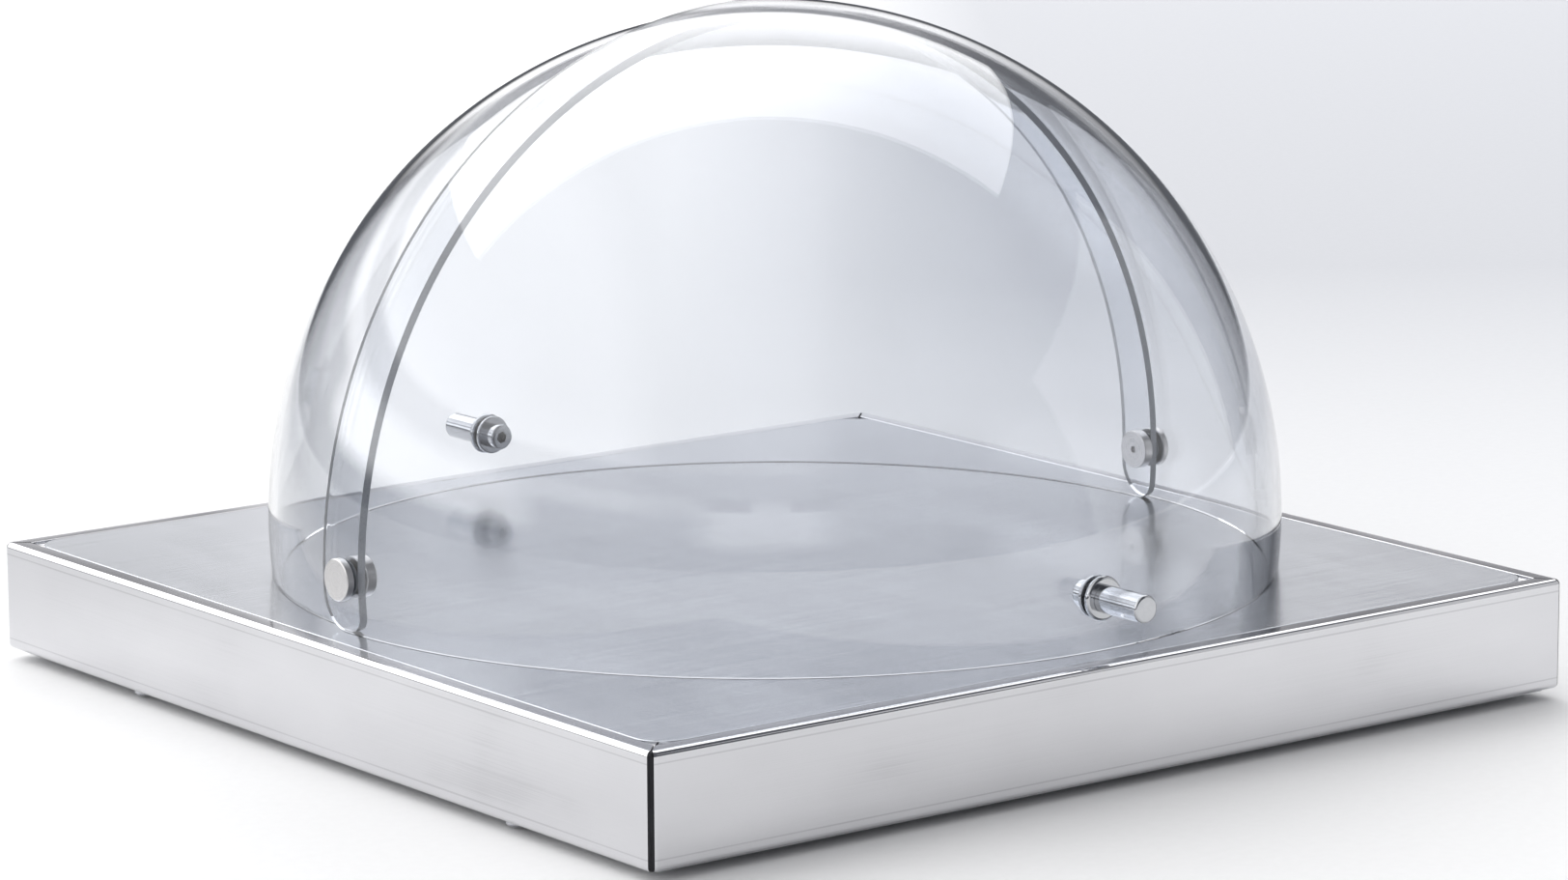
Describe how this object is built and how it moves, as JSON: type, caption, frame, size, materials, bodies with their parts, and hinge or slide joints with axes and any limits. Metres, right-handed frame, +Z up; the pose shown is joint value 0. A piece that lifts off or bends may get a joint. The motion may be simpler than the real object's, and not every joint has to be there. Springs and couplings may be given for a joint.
{
  "type": "cheese display",
  "caption": "Square steel buffet base with cold packs under a lift-out tray, covered by a clear roll-top hood of nested quarter-sphere shells that turn on side pivots.",
  "frame": {"origin": "on the table under the middle of the base", "axes": "+Z up, -Y towards the front knob, X along the pivots of the hood"},
  "size_m": [0.415, 0.4253, 0.2545],
  "materials": {
    "casing_steel": "polished",
    "plate_steel": "satin",
    "screw_steel": "satin",
    "tray_steel": "satin",
    "tub_foam": "matte",
    "foot_rubber": "matte",
    "pack_plastic": "satin",
    "cap_plastic": "satin",
    "hood_clear": "gloss",
    "pivot_steel": "satin",
    "bush_plastic": "satin",
    "washer_plastic": "satin",
    "knob_steel": "polished"
  },
  "bodies": {
    "base": {"front_wall": "casing_steel", "front_ledge": "casing_steel", "right_wall": "casing_steel", "right_ledge": "casing_steel", "rear_wall": "casing_steel", "rear_ledge": "casing_steel", "left_wall": "casing_steel", "left_ledge": "casing_steel", "bottom_plate": "plate_steel", "bottom_screws": "screw_steel", "weld_nuts": "screw_steel", "insulation_tub": "tub_foam", "front_left_foot": "foot_rubber", "front_right_foot": "foot_rubber", "rear_left_foot": "foot_rubber", "rear_right_foot": "foot_rubber"},
    "cold_packs": {"front_left_cold_pack": "pack_plastic", "front_left_cold_pack_cap": "cap_plastic", "front_right_cold_pack": "pack_plastic", "front_right_cold_pack_cap": "cap_plastic", "rear_left_cold_pack": "pack_plastic", "rear_left_cold_pack_cap": "cap_plastic", "rear_right_cold_pack": "pack_plastic", "rear_right_cold_pack_cap": "cap_plastic"},
    "tray": {"tray": "tray_steel"},
    "hood_pivots": {"left_pivot_cap": "pivot_steel", "left_pivot_bush": "bush_plastic", "left_pivot_washer": "washer_plastic", "left_pivot_nut": "pivot_steel", "right_pivot_cap": "pivot_steel", "right_pivot_bush": "bush_plastic", "right_pivot_washer": "washer_plastic", "right_pivot_nut": "pivot_steel"},
    "front_hood": {"front_hood": "hood_clear", "front_knob_grip": "knob_steel", "front_knob_rosette": "knob_steel", "front_knob_ring": "knob_steel", "front_knob_nut": "knob_steel"},
    "rear_hood": {"rear_hood": "hood_clear", "rear_knob_grip": "knob_steel", "rear_knob_rosette": "knob_steel", "rear_knob_ring": "knob_steel", "rear_knob_nut": "knob_steel"}
  },
  "joints": [
    {"name": "cold_packs_lift", "type": "slide", "parent": "base", "child": "cold_packs", "axis": [0, 0, 1], "range_m": [0, 0.06]},
    {"name": "tray_lift", "type": "slide", "parent": "cold_packs", "child": "tray", "axis": [0, 0, 1], "range_m": [0, 0.08]},
    {"name": "hood_lift", "type": "slide", "parent": "tray", "child": "hood_pivots", "axis": [0, 0, 1], "range_m": [0, 0.12]},
    {"name": "front_hood_turn", "type": "hinge", "parent": "hood_pivots", "child": "front_hood", "pos_m": [0, 0, 0.0645], "axis": [-1, 0, 0], "range_deg": [0, 82]},
    {"name": "rear_hood_turn", "type": "hinge", "parent": "hood_pivots", "child": "rear_hood", "pos_m": [0, 0, 0.0645], "axis": [-1, 0, 0], "range_deg": [-82, 0]}
  ]
}
